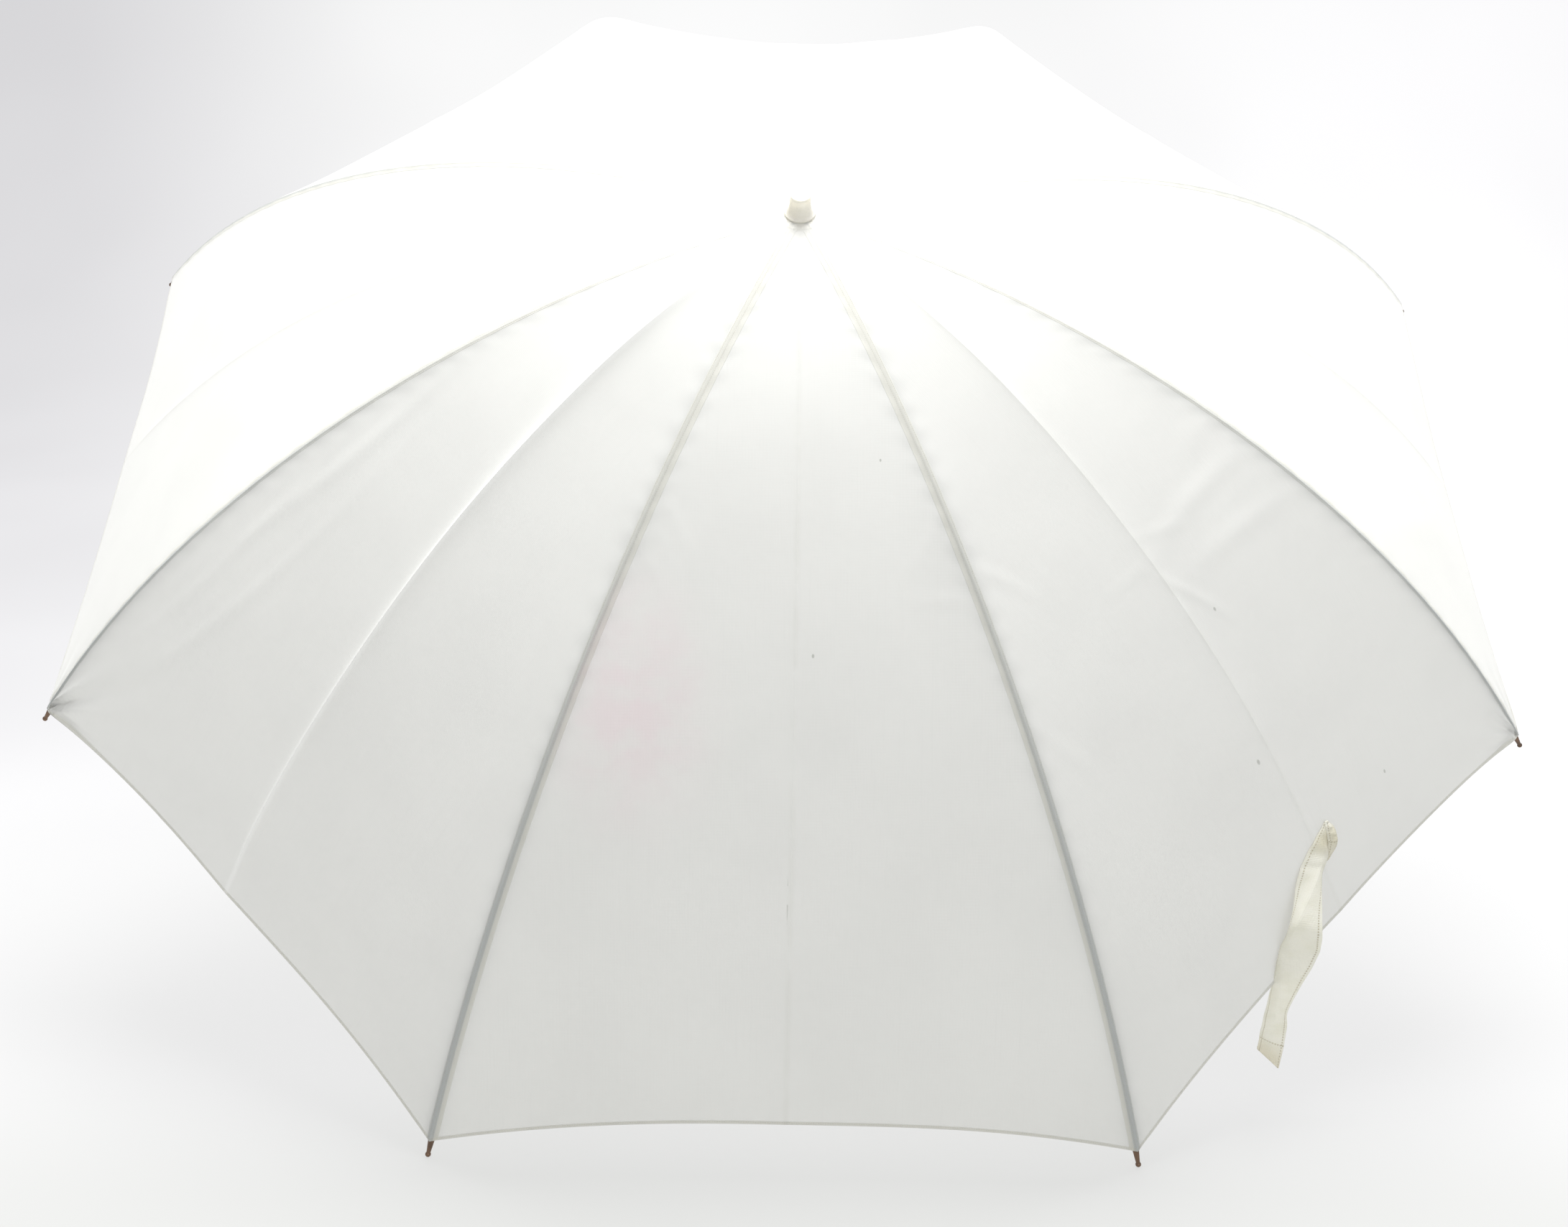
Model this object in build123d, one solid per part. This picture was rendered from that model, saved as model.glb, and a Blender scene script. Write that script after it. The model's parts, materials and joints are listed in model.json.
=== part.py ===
from build123d import *
import math
import os

# A white shoot-through photographic umbrella, open, lying as it is put down on a floor: it rests on its
# two front rib tips and on the end of its shaft.
#
# Every piece is drawn in the umbrella's own frame, in millimetres: +Z runs along the shaft towards the
# ferrule, and z = 0 is the plane of the crown's wire ring, which the ribs hinge on. RESTING then leans
# the whole umbrella into the pose that the files hold, +Z up, on the plane z = 0.
#
# Ribs are numbered anticlockwise seen from the ferrule, from the front left one. Gore k is the canopy
# panel between rib k and the next rib; each gore folds along its middle, so it is made as two halves.

# Frame of the umbrella
RIB_COUNT = 8
SECTOR = 360 / RIB_COUNT
HALF_SECTOR = SECTOR / 2
FIRST_RIB_AZIMUTH = -90 - HALF_SECTOR
DOME_RADIUS = 584.7  # arc of a rib's mid line
RIB_LENGTH = 546.0  # along that arc, from the shaft's axis to the tip's ball
SHAFT_REACH = 600.0  # from the crown's wire ring to the end of the shaft
HINGE_RADIUS = 8.5  # of both wire rings
RIB_FOLD = 61.5  # how far a rib turns from open to closed, in degrees
CUT_MARGIN = 1.0  # how far a cut runs on past the surface that it opens

# Shaft, its end cap, the pin that stops the runner at the top and the ring that stops it at the bottom
SHAFT_RADIUS = 4.0
SHAFT_BORE = 3.0
SHAFT_TOP = 12.0
CAP_RADIUS = 3.5
CAP_THICKNESS = 2.0
CAP_FILLET = 1.0
CAP_PLUG = 10.0
STOP_PIN_RADIUS = 0.75
STOP_PIN_REACH = 5.0
STOP_RING_RADIUS = 5.6
STOP_RING_ROOT = 3.7
STOP_RING_THICKNESS = 0.8
STOP_RING_MOUTH = 2.0
STOP_GAP = 1.0  # between the runner at the end of its travel and the stop

# Crown: notch, wire ring, canopy centre and ferrule
WIRE_RADIUS = 0.5
SLOT_WIDTH = 2.2
CROWN_RADIUS = 11.0
CROWN_TOP = 2.4
CROWN_BOTTOM = -4.0
CROWN_SLOT_ROOT = 5.0
COLLAR_RADIUS = 6.5
COLLAR_BOTTOM = -12.0
FERRULE_RADIUS = 8.5
FERRULE_NECK = 5.9
FERRULE_TOP_RADIUS = 5.5
FERRULE_RIM = 0.9
FERRULE_HEIGHT = 12.2
FERRULE_FLARE = 6.7  # height at which the flare has become the neck
FERRULE_FILLET = 1.0
FERRULE_RIM_TANGENT = (-1, 0.35)
FERRULE_NECK_TANGENT = (-0.06, 1)

# Ribs: a steel channel, open to the inside of the dome, with a flat tongue at the hinge
RIB_WIDTH = 3.2
RIB_DEPTH = 2.8
RIB_WALL = 0.5
RIB_CHANNEL_START = 16.0
RIB_END = 532.0
EYE_RADIUS = 2.0
EYE_HOLE = 0.6
TONGUE_WIDTH = 1.6
TONGUE_DEPTH = 2.6
TONGUE_OVERLAP = 8.0

# Rib tips: a turned sleeve, a tapered neck and a ball
TIP_RADIUS = 1.7
TIP_SLEEVE = 5.0
TIP_NECK = 0.95
TIP_BALL = 1.45
TIP_GAP = 0.05

# Stretchers and their rivets
RIVET_PLACE = 229.0  # along the rib from the shaft's axis
RIVET_INSET = 0.35  # below the rib's mid line
RIVET_RADIUS = 0.5
RIVET_HEAD_RADIUS = 1.0
RIVET_HEAD = 0.5
STRETCHER_WIDTH = 3.0
STRETCHER_DEPTH = 2.6
STRETCHER_WALL = 0.45
STRETCHER_END = 9.0  # flat tongue at each end
STRETCHER_LAP = 5.0  # of a tongue into the bar
RIB_SIDE_TONGUE_WIDTH = 1.4
RIB_SIDE_EYE = 1.15
RIB_SIDE_TONGUE_HALF = 1.05

# Runner and the spring catch that holds it open
RUNNER_BORE = 4.15
RUNNER_RADIUS = 6.0
RUNNER_HEAD_RADIUS = 11.5
RUNNER_HEAD_HALF = 3.0
RUNNER_SLOT_ROOT = 6.3
RUNNER_BOTTOM = -24.0
WINDOW_TOP = -8.0
WINDOW_BOTTOM = -19.6
WINDOW_WIDTH = 2.0
CATCH_LENGTH = 14.0
CATCH_WIDTH = 1.2
CATCH_SLOT_WIDTH = 1.6
CATCH_REACH = 5.6
CATCH_BACK = 1.0
CATCH_GAP = 0.1
CATCH_FOOT = 3.6  # how far out its lower end reaches, inside the tube
CATCH_NOSE = 3.0  # length of the part that holds the runner

# Canopy
CLOTH = 0.6
CLOTH_GAP = 1.0  # above a rib's back, so that the cloth clears the rib's corners
SEAM_GAP = 0.2
PATCH_GAP = 0.4
HEM_CORNER = 536.6  # along the rib, where a corner of the cloth ends
HEM_MIDDLE = 523.4  # along the rib's arc, where the hem's middle is

# Tie strap on gore 2
STRAP_GORE_AZIMUTH = FIRST_RIB_AZIMUTH + 1.5 * SECTOR
STRAP_WIDTH = 19.0
STRAP_THICKNESS = 1.0
STRAP_TOP = (477.0, 19.0, 0.5)  # along the arc, across the gore, clear of the cloth
STRAP_HEM = (524.0, -18.0, 2.6)
STRAP_DROP = (-14.0, 4.0, -66.0)  # from the hem to the strap's end, in the resting pose
STRAP_END_ACROSS = (0.9, -0.35, -0.2)


def arc_point(length, radius=DOME_RADIUS):
    """(distance from the axis, height) of a point along a rib's arc, or along one that is offset from it."""
    angle = length / DOME_RADIUS
    return radius * math.sin(angle), radius * math.cos(angle) - DOME_RADIUS


def arc_degrees(length):
    return math.degrees(length / DOME_RADIUS)


TIP_OUT, TIP_HEIGHT = arc_point(RIB_LENGTH)
RIVET_OUT, RIVET_HEIGHT = arc_point(RIVET_PLACE, DOME_RADIUS - RIVET_INSET)
STRETCHER_LENGTH = math.hypot(RIVET_OUT - HINGE_RADIUS, RIVET_HEIGHT)
STRETCHER_SLOPE = math.asin(-RIVET_HEIGHT / STRETCHER_LENGTH)
RUNNER_HEIGHT = 2 * RIVET_HEIGHT  # the rib's inner part and the stretcher make an isosceles triangle
CLOSED_RUNNER_HEIGHT = -2 * STRETCHER_LENGTH * math.sin(STRETCHER_SLOPE + math.radians(RIB_FOLD))
CATCH_TOP = RUNNER_HEIGHT + WINDOW_TOP - CATCH_GAP
STOP_RING_TOP = CLOSED_RUNNER_HEIGHT + RUNNER_BOTTOM - STOP_GAP
RIB_BACK = RIB_DEPTH / 2
CLOTH_INSIDE = RIB_BACK + CLOTH_GAP
CLOTH_OUTSIDE = CLOTH_INSIDE + CLOTH


def resting_pose():
    """The location that lays the umbrella on its two front tips and the end of its shaft."""
    across = math.cos(math.radians(HALF_SECTOR))
    end_height = -(SHAFT_REACH - CAP_FILLET)
    end_out = CAP_RADIUS - CAP_FILLET
    rise = TIP_HEIGHT - end_height
    run = TIP_OUT * across - end_out
    lean = math.acos((TIP_BALL - CAP_FILLET) / math.hypot(rise, run)) - math.atan2(run, rise)
    sine = math.sin(lean)
    cosine = math.cos(lean)
    up = -end_height * cosine + end_out * sine + CAP_FILLET
    cloth_radius = DOME_RADIUS + CLOTH_OUTSIDE
    front = DOME_RADIUS * sine - cloth_radius * math.hypot(across * cosine, sine)
    back = TIP_OUT * across * cosine - TIP_HEIGHT * sine + TIP_BALL
    return Location((0, -(front + back) / 2, up), (math.degrees(lean), 0, 0))


RESTING = resting_pose()


def rib_azimuth(number):
    return FIRST_RIB_AZIMUTH + SECTOR * (number - 1)


def turned(shape, azimuth):
    """A piece drawn in the plane y = 0, turned about the shaft to its azimuth."""
    return Rot(0, 0, azimuth) * shape


def cross_cylinder(radius, length, out, height):
    """A cylinder along Y, as a hinge pin or its hole."""
    return Pos(out, 0, height) * Rot(90, 0, 0) * Cylinder(radius, length)


def upright(radius, height, bottom, top_radius=None):
    """A cylinder or a cone about the Z axis, standing on its bottom."""
    standing = (Align.CENTER, Align.CENTER, Align.MIN)
    if top_radius is None:
        return Pos(0, 0, bottom) * Cylinder(radius, height, align=standing)
    return Pos(0, 0, bottom) * Cone(radius, top_radius, height, align=standing)


def tube(outer, inner, bottom, top):
    return upright(outer, top - bottom, bottom) - upright(inner, top - bottom, bottom)


def radial_box(inner, outer, width, bottom, top):
    """A block across the plane y = 0, from inner to outer along X."""
    middle = ((inner + outer) / 2, 0, (bottom + top) / 2)
    return Pos(*middle) * Box(outer - inner, width, top - bottom)


def hinge_slots(root, reach, bottom, top):
    return [
        turned(radial_box(root, reach, SLOT_WIDTH, bottom, top), rib_azimuth(number))
        for number in range(1, RIB_COUNT + 1)
    ]


def wire_ring(height):
    return Pos(0, 0, height) * Torus(HINGE_RADIUS, WIRE_RADIUS)


def shaft():
    body = tube(SHAFT_RADIUS, SHAFT_BORE, -(SHAFT_REACH - CAP_THICKNESS), SHAFT_TOP)
    slot_margin = (CATCH_SLOT_WIDTH - CATCH_WIDTH) / 2
    slot = radial_box(
        SHAFT_BORE - CUT_MARGIN, SHAFT_RADIUS + CUT_MARGIN, CATCH_SLOT_WIDTH,
        CATCH_TOP - CATCH_LENGTH - slot_margin, CATCH_TOP + slot_margin,
    )
    return body - turned(slot, 90) - stop_pin() - stop_groove()


def stop_pin():
    height = RUNNER_HEIGHT + RUNNER_HEAD_HALF + STOP_GAP + STOP_PIN_RADIUS
    return Pos(0, 0, height) * Rot(0, 90, 0) * Cylinder(STOP_PIN_RADIUS, 2 * STOP_PIN_REACH)


def stop_groove():
    return tube(STOP_RING_RADIUS, STOP_RING_ROOT, STOP_RING_TOP - STOP_RING_THICKNESS, STOP_RING_TOP)


def stop_ring():
    """A snap ring, open on one side, in the shaft's groove."""
    mouth = radial_box(
        0, STOP_RING_RADIUS + CUT_MARGIN, STOP_RING_MOUTH, STOP_RING_TOP - STOP_RING_THICKNESS, STOP_RING_TOP,
    )
    return stop_groove() - mouth


def end_cap():
    disc = upright(CAP_RADIUS, CAP_THICKNESS, -SHAFT_REACH)
    disc = fillet(disc.edges().sort_by(Axis.Z)[0], CAP_FILLET)
    return disc + upright(SHAFT_BORE, CAP_PLUG, CAP_THICKNESS - SHAFT_REACH)


def crown_notch():
    head = tube(CROWN_RADIUS, SHAFT_RADIUS, CROWN_BOTTOM, CROWN_TOP)
    collar = tube(COLLAR_RADIUS, SHAFT_RADIUS, COLLAR_BOTTOM, CROWN_BOTTOM)
    slots = hinge_slots(CROWN_SLOT_ROOT, CROWN_RADIUS + CUT_MARGIN, CROWN_BOTTOM, CROWN_TOP)
    return head + collar - slots - wire_ring(0)


def canopy_centre():
    return tube(CROWN_RADIUS, SHAFT_RADIUS, CROWN_TOP, CROWN_TOP + CLOTH)


def ferrule():
    """A flared cap over the end of the shaft, which clamps the middle of the canopy."""
    base = CROWN_TOP + CLOTH
    top = base + FERRULE_HEIGHT
    rim = (FERRULE_RADIUS, base + FERRULE_RIM)
    neck = (FERRULE_NECK, base + FERRULE_FLARE)
    outline = [
        Line((SHAFT_RADIUS, base), (FERRULE_RADIUS, base)),
        Line((FERRULE_RADIUS, base), rim),
        Spline(rim, neck, tangents=[FERRULE_RIM_TANGENT, FERRULE_NECK_TANGENT]),
        Line(neck, (FERRULE_TOP_RADIUS, top)),
        Line((FERRULE_TOP_RADIUS, top), (0, top)),
        Line((0, top), (0, SHAFT_TOP)),
        Line((0, SHAFT_TOP), (SHAFT_RADIUS, SHAFT_TOP)),
        Line((SHAFT_RADIUS, SHAFT_TOP), (SHAFT_RADIUS, base)),
    ]
    cap = revolve(Plane.XZ * make_face(outline), Axis.Z)
    return fillet(cap.edges().sort_by(Axis.Z)[-1], FERRULE_FILLET)


def rib():
    """The rib at azimuth 0: a curved channel, with a tongue that hinges on the crown's wire ring."""
    arc_axis = Axis((0, 0, -DOME_RADIUS), (0, 1, 0))
    section = Rectangle(RIB_WIDTH, RIB_DEPTH)
    groove = Pos(0, -RIB_WALL) * Rectangle(RIB_WIDTH - 2 * RIB_WALL, RIB_DEPTH)
    profile = (Plane.YZ * (section - groove)).rotate(arc_axis, arc_degrees(RIB_CHANNEL_START))
    channel = revolve(profile, arc_axis, arc_degrees(RIB_END - RIB_CHANNEL_START))
    eye = cross_cylinder(EYE_RADIUS, TONGUE_WIDTH, HINGE_RADIUS, 0)
    tongue_end = RIB_CHANNEL_START + TONGUE_OVERLAP
    tongue = radial_box(HINGE_RADIUS, tongue_end, TONGUE_WIDTH, RIB_BACK - TONGUE_DEPTH, RIB_BACK - RIB_WALL)
    return (
        channel + eye + tongue
        - cross_cylinder(EYE_HOLE, RIB_WIDTH, HINGE_RADIUS, 0)
        - cross_cylinder(RIVET_RADIUS, 2 * RIB_WIDTH, RIVET_OUT, RIVET_HEIGHT)
    )


def rib_tip():
    """The tip at azimuth 0: it continues the rib in a straight line to the middle of its ball."""
    foot_out, foot_height = arc_point(RIB_END)
    reach = math.hypot(TIP_OUT - foot_out, TIP_HEIGHT - foot_height)
    line = Plane(
        origin=(foot_out, 0, foot_height), x_dir=(0, 1, 0),
        z_dir=(TIP_OUT - foot_out, 0, TIP_HEIGHT - foot_height),
    )
    sleeve = upright(TIP_RADIUS, TIP_SLEEVE - TIP_GAP, TIP_GAP)
    neck = upright(TIP_RADIUS, reach - TIP_SLEEVE, TIP_SLEEVE, TIP_NECK)
    return line * (sleeve + neck + Pos(0, 0, reach) * Sphere(TIP_BALL))


def rib_rivet():
    pin = cross_cylinder(RIVET_RADIUS, RIB_WIDTH, RIVET_OUT, RIVET_HEIGHT)
    head = cross_cylinder(RIVET_HEAD_RADIUS, RIVET_HEAD, RIVET_OUT, RIVET_HEIGHT)
    offset = (RIB_WIDTH + RIVET_HEAD) / 2
    return pin + Pos(0, offset, 0) * head + Pos(0, -offset, 0) * head


def stretcher():
    """The stretcher at azimuth 0, drawn along X from the rib's rivet to the runner's wire ring."""
    start = STRETCHER_END
    end = STRETCHER_LENGTH - STRETCHER_END
    low = -STRETCHER_DEPTH / 2
    high = STRETCHER_DEPTH / 2
    inside = STRETCHER_WIDTH - 2 * STRETCHER_WALL
    bar = radial_box(start, end, STRETCHER_WIDTH, low, high) - radial_box(
        start, end, inside, low, high - STRETCHER_WALL
    )
    rib_side = radial_box(
        0, start + STRETCHER_LAP, RIB_SIDE_TONGUE_WIDTH, -RIB_SIDE_TONGUE_HALF, RIB_SIDE_TONGUE_HALF,
    )
    rib_side += cross_cylinder(RIB_SIDE_EYE, RIB_SIDE_TONGUE_WIDTH, 0, 0)
    link = radial_box(start, start + STRETCHER_LAP, inside, 0, high - STRETCHER_WALL)
    runner_side = radial_box(end - STRETCHER_LAP, STRETCHER_LENGTH, TONGUE_WIDTH, low, high - STRETCHER_WALL)
    runner_side += cross_cylinder(EYE_RADIUS, TONGUE_WIDTH, STRETCHER_LENGTH, 0)
    piece = (
        bar + rib_side + link + runner_side
        - cross_cylinder(EYE_HOLE, STRETCHER_WIDTH, 0, 0)
        - cross_cylinder(EYE_HOLE, STRETCHER_WIDTH, STRETCHER_LENGTH, 0)
    )
    line = Plane(
        origin=(RIVET_OUT, 0, RIVET_HEIGHT),
        x_dir=(-math.cos(STRETCHER_SLOPE), 0, -math.sin(STRETCHER_SLOPE)),
        z_dir=(-math.sin(STRETCHER_SLOPE), 0, math.cos(STRETCHER_SLOPE)),
    )
    return line * piece


def runner():
    """The sleeve that slides on the shaft, drawn with its wire ring at z = 0."""
    sleeve = tube(RUNNER_RADIUS, RUNNER_BORE, RUNNER_BOTTOM, RUNNER_HEAD_HALF)
    head = tube(RUNNER_HEAD_RADIUS, RUNNER_BORE, -RUNNER_HEAD_HALF, RUNNER_HEAD_HALF)
    reach = RUNNER_HEAD_RADIUS + CUT_MARGIN
    slots = hinge_slots(RUNNER_SLOT_ROOT, reach, -RUNNER_HEAD_HALF, RUNNER_HEAD_HALF)
    window = radial_box(
        RUNNER_BORE - CUT_MARGIN, RUNNER_RADIUS + CUT_MARGIN, WINDOW_WIDTH, WINDOW_BOTTOM, WINDOW_TOP,
    )
    return Pos(0, 0, RUNNER_HEIGHT) * (sleeve + head - slots - wire_ring(0) - turned(window, 90))


def top_catch():
    """The leaf that springs out of the shaft into the runner's window."""
    bottom = CATCH_TOP - CATCH_LENGTH
    outline = Polyline(
        (CATCH_BACK, bottom), (CATCH_FOOT, bottom), (CATCH_REACH, CATCH_TOP - CATCH_NOSE),
        (CATCH_REACH, CATCH_TOP), (CATCH_BACK, CATCH_TOP), close=True,
    )
    return turned(extrude(Plane.XZ * make_face(outline), CATCH_WIDTH / 2, both=True), 90)


def half_gore():
    """The half of a gore that is sewn to the rib at azimuth 0, on that rib's anticlockwise side.

    Between two ribs the cloth is stretched straight across, so a gore is a curved sheet with straight
    level lines, square to the plane of its middle fold.
    """
    middle = math.radians(HALF_SECTOR)
    outward = Vector(math.cos(middle), math.sin(middle), 0)
    across = Vector(-math.sin(middle), math.cos(middle), 0)
    low = CenterArc((0, -DOME_RADIUS), DOME_RADIUS + CLOTH_INSIDE, 90, -arc_degrees(RIB_LENGTH))
    high = CenterArc((0, -DOME_RADIUS), DOME_RADIUS + CLOTH_OUTSIDE, 90, -arc_degrees(RIB_LENGTH))
    band = make_face([low, high, Line(low @ 0, high @ 0), Line(low @ 1, high @ 1)])
    sheet = extrude(Plane.XZ * band, RIB_LENGTH / 2, dir=across)
    hem_middle = arc_point(HEM_MIDDLE)[0] * math.cos(middle)
    start = CROWN_RADIUS + PATCH_GAP
    fold_inner = outward * start - across * SEAM_GAP
    fold_outer = outward * hem_middle - across * SEAM_GAP
    seam_inner = Vector(start, SEAM_GAP, 0)
    seam_outer = Vector(arc_point(HEM_CORNER)[0], SEAM_GAP, 0)
    outline = make_face([
        Line(seam_inner, seam_outer),
        TangentArc(fold_outer, seam_outer, tangent=-across),
        Line(fold_outer, fold_inner),
        Line(fold_inner, seam_inner),
    ])
    column = extrude(Pos(0, 0, -RIB_LENGTH / 2) * outline, RIB_LENGTH)
    return sheet & column


def strap_point(along, across, clear):
    """A point of the strap's mid line over gore 2 in the resting pose, that far clear of the cloth."""
    out, height = arc_point(along, DOME_RADIUS + CLOTH_OUTSIDE + clear + STRAP_THICKNESS / 2)
    out *= math.cos(math.radians(HALF_SECTOR))
    return (RESTING * Rot(0, 0, STRAP_GORE_AZIMUTH) * Pos(out, across, height)).position


def strap_section(origin, direction, across):
    """The strap's rectangle at a point of its mid line, square to the direction that it runs in."""
    width = (across - direction * across.dot(direction)).normalized()
    return Plane(origin=origin, x_dir=width, z_dir=direction) * Rectangle(STRAP_WIDTH, STRAP_THICKNESS)


def tie_strap():
    """The strap in the resting pose: it leaves the gore, passes the hem and hangs with a twist."""
    top = strap_point(*STRAP_TOP)
    hem = strap_point(*STRAP_HEM)
    drop = Vector(*STRAP_DROP)
    on_gore = (hem - top).normalized()
    hanging = drop.normalized()
    gore_at_hem = RESTING * Rot(0, 0, STRAP_GORE_AZIMUTH) * Rot(0, arc_degrees(STRAP_HEM[0]), 0)
    outward = gore_at_hem.z_axis.direction
    across = on_gore.cross(outward)
    sections = [
        strap_section(top, on_gore, across),
        strap_section(hem, (on_gore + hanging).normalized(), across),
        strap_section(hem + drop, hanging, Vector(*STRAP_END_ACROSS)),
    ]
    return loft(sections, ruled=True)


def all_pieces():
    """Every node of the umbrella in the resting pose."""
    fixed = {
        "shaft": shaft(),
        "end_cap": end_cap(),
        "stop_pin": stop_pin(),
        "stop_ring": stop_ring(),
        "crown_notch": crown_notch(),
        "crown_wire": wire_ring(0),
        "canopy_centre": canopy_centre(),
        "ferrule": ferrule(),
        "runner": runner(),
        "runner_wire": wire_ring(RUNNER_HEIGHT),
        "top_catch": top_catch(),
    }
    repeated = {
        "rib": rib(),
        "rib_tip": rib_tip(),
        "rib_rivet": rib_rivet(),
        "stretcher": stretcher(),
    }
    left_half = half_gore()
    right_half = mirror(left_half, Plane.XZ)
    pieces = {name: RESTING * piece for name, piece in fixed.items()}
    for number in range(1, RIB_COUNT + 1):
        azimuth = rib_azimuth(number)
        before = (number - 2) % RIB_COUNT + 1
        for name, piece in repeated.items():
            pieces[f"{name}_{number}"] = RESTING * turned(piece, azimuth)
        pieces[f"gore_{number}_left"] = RESTING * turned(left_half, azimuth)
        pieces[f"gore_{before}_right"] = RESTING * turned(right_half, azimuth)
    pieces["tie_strap"] = tie_strap()
    return pieces


def main():
    os.makedirs("parts", exist_ok=True)
    for name, piece in all_pieces().items():
        export_step(piece, f"parts/{name}.step")


main()
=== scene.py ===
import json
import math

import bpy
import numpy as np
from mathutils import Matrix, Vector


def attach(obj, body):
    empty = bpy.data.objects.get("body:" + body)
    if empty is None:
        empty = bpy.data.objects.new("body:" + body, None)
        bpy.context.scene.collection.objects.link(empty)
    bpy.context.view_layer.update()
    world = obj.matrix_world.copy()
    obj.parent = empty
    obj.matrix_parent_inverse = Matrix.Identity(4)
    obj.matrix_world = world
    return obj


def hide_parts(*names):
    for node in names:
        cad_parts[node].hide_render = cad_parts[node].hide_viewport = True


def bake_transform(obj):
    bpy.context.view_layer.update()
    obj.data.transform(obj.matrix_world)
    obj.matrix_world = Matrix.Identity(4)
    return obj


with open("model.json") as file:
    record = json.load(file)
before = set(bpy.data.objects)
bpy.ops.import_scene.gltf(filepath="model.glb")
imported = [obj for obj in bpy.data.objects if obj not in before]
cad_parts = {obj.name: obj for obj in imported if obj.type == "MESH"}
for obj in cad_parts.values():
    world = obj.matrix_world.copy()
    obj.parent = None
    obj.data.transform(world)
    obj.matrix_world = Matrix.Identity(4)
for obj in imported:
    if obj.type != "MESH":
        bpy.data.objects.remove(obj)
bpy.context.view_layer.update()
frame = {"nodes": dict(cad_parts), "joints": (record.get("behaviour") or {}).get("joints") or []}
NODES = frame["nodes"]
JOINTS = {joint["name"]: joint for joint in frame["joints"]}

# An open shoot-through umbrella that rests on two front rib tips and on the end of its shaft.
# Lengths are in millimetres until points are placed in the resting pose, in metres.
MM = 0.001

# The runner slides down the leaning shaft, and the crown is midway between the hinges of opposite ribs.
_, slide_y, slide_z = JOINTS["runner_slide"]["axis"]
LEAN = math.atan2(slide_y, -slide_z)
CROWN = (Vector(JOINTS["rib_1_fold"]["pos_m"]) + Vector(JOINTS["rib_5_fold"]["pos_m"])) / 2
RESTING = Matrix.Translation(CROWN) @ Matrix.Rotation(LEAN, 4, "X")

# The dome, as in the CAD source
GORES = 8
HALF_SECTOR = math.radians(22.5)
FIRST_RIB = math.radians(-112.5)
DOME_RADIUS = 584.7  # of a rib's mid line
CLOTH_RADIUS = DOME_RADIUS + 2.6
CLOTH_START = 10.4
HEM_CORNER = 536.6  # how far down its arc the cloth reaches on a rib
HEM_MIDDLE = 523.4  # and in the middle of a gore
HEM_POWER = 2.6

# Each half gore is a grid of points, with its hem and its seam allowance turned in behind it.
ROWS = 150
COLUMNS = 60
HEM_TURN = 1.6
SEAM_ALLOWANCES = (1.7, 3.8)  # pressed to one side: narrow on even gores, wide on odd ones
SEAM_START = CLOTH_START + 8
LAYER_GAP = 0.34
LAYER_REST = 0.08  # how near a turned edge lies to the cloth
HEM_ROLL = 0.12

# height and half width of the ironed fold down the middle of each gore
CREASES = {
    8: (2.3, 3.4), 1: (0.35, 3.0), 2: (0.45, 3.0), 3: (0.4, 4.0),
    4: (0.3, 4.0), 5: (0.3, 4.0), 6: (0.3, 4.0), 7: (0.4, 4.0),
}

# how far the fold of a gore stands out as a shallow tent over its whole width
TENTS = {8: 5.0, 2: 4.5, 1: 1.0}

# how far the middle of a gore hangs in below the straight line between its ribs
SAG = 1.2
MORE_SAG = {5: 13.0, 4: 5.0, 6: 5.0}

UNEVENNESS = 0.54
PUCKER_RISE = 0.16  # beside the seams, where the stitching draws the cloth up
FOLD_RISE = 1.2  # of every wrinkle and fan of folds, times its own height
WRINKLE_BEND = 0.0012

# gore, along, across, angle from the fold in degrees, half length, half width, wave length, height
WRINKLES = [
    (2, 274, 58, 96, 42, 9, 32, 0.70),
    (2, 306, 68, 87, 40, 9, 32, 0.65),
    (2, 246, 92, 98, 28, 8, 30, 0.50),
    (2, 276, 15, 72, 18, 3, 12, 0.32),
    (2, 286, -14, 86, 22, 3, 12, 0.26),
    (2, 318, 12, 30, 26, 4, 16, 0.30),
    (1, 200, -62, 24, 24, 6, 14, 0.35),
    (1, 222, -76, 30, 22, 6, 15, 0.40),
    (1, 206, 68, -26, 24, 6, 14, 0.35),
    (1, 244, 80, -84, 18, 5, 12, 0.40),
    (2, 236, -78, 28, 22, 6, 15, 0.40),
    (2, 330, -104, 20, 30, 7, 18, 0.30),
    (8, 410, -92, -23, 90, 5, 20, 0.75),
    (8, 398, -114, -19, 95, 5, 18, 0.55),
    (8, 394, -136, -15, 110, 5, 18, 0.75),
    (8, 300, -84, -16, 80, 7, 26, 0.65),
    (8, 503, -48, -30, 20, 3, 14, 0.70),
    (8, 300, 84, 20, 46, 8, 32, 0.25),
    (3, 420, -90, 30, 50, 14, 60, 0.3),
    (4, 300, 40, 60, 40, 14, 60, 0.5),
    (5, 360, -60, -40, 44, 14, 60, 0.5),
    (6, 280, 50, 40, 40, 13, 60, 0.5),
    (7, 330, 80, -30, 46, 14, 60, 0.3),
]

# fans of small folds from a gore's corners: gore, side, number of folds, reach, height
FANS = [
    (8, -1, 9, 34, 4.0), (8, -1, 15, 130, 1.3),
    (2, 1, 9, 24, 2.2), (7, 1, 9, 30, 0.5), (3, -1, 9, 30, 0.5),
]
FANS += [(gore, side, 9, 30, 0.12) for gore in range(1, GORES + 1) for side in (-1, 1)]
FAN_CREST = 14.0  # how far from the corner the folds stand highest


# ---------------------------------------------------------------- points and meshes

def rising(x, start, end):
    """0 before start, 1 after end, and smooth between them."""
    x = np.clip((x - start) / (end - start), 0.0, 1.0)
    return x * x * (3 - 2 * x)


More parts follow.
